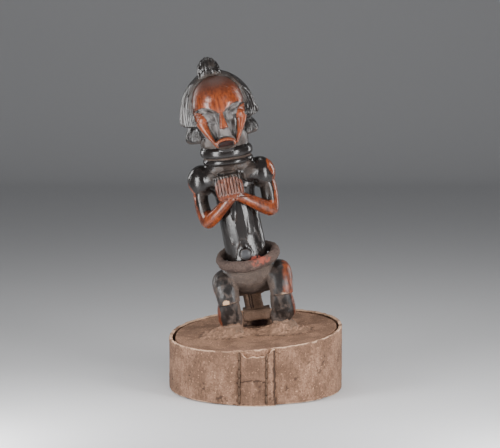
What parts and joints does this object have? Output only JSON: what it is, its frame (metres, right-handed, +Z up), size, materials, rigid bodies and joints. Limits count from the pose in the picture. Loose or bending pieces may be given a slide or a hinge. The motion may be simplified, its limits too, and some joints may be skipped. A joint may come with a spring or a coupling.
{
  "type": "reliquary figure on bark box",
  "caption": "Seated figure of dark carved wood with a crested coiffure and a belt ring, leaning on the lid of a round sewn bark box.",
  "frame": {"origin": "middle of the box's underside, in the plane it stands on", "axes": "+Z up, -Y is the front that the figure and the seam face, +X is to the viewer's right"},
  "size_m": [0.257, 0.2588, 0.4914],
  "materials": {
    "dark_carved_wood": "oiled and polished by handling, black to red-brown",
    "crusted_belt": "matte, crusted, with traces of red pigment",
    "dusty_bark": "dry and dusty, cracked, with worn edges",
    "dusty_plank": "dry, under a crust of dust",
    "sewing_vine": "dry split vine"
  },
  "bodies": {
    "root": {"carved_figure": "dark_carved_wood", "waist_ring": "crusted_belt", "bark_band": "dusty_bark", "lid": "dusty_plank", "box_bottom": "dusty_plank", "seam_cord_left": "sewing_vine", "seam_cord_right": "sewing_vine"}
  },
  "joints": []
}
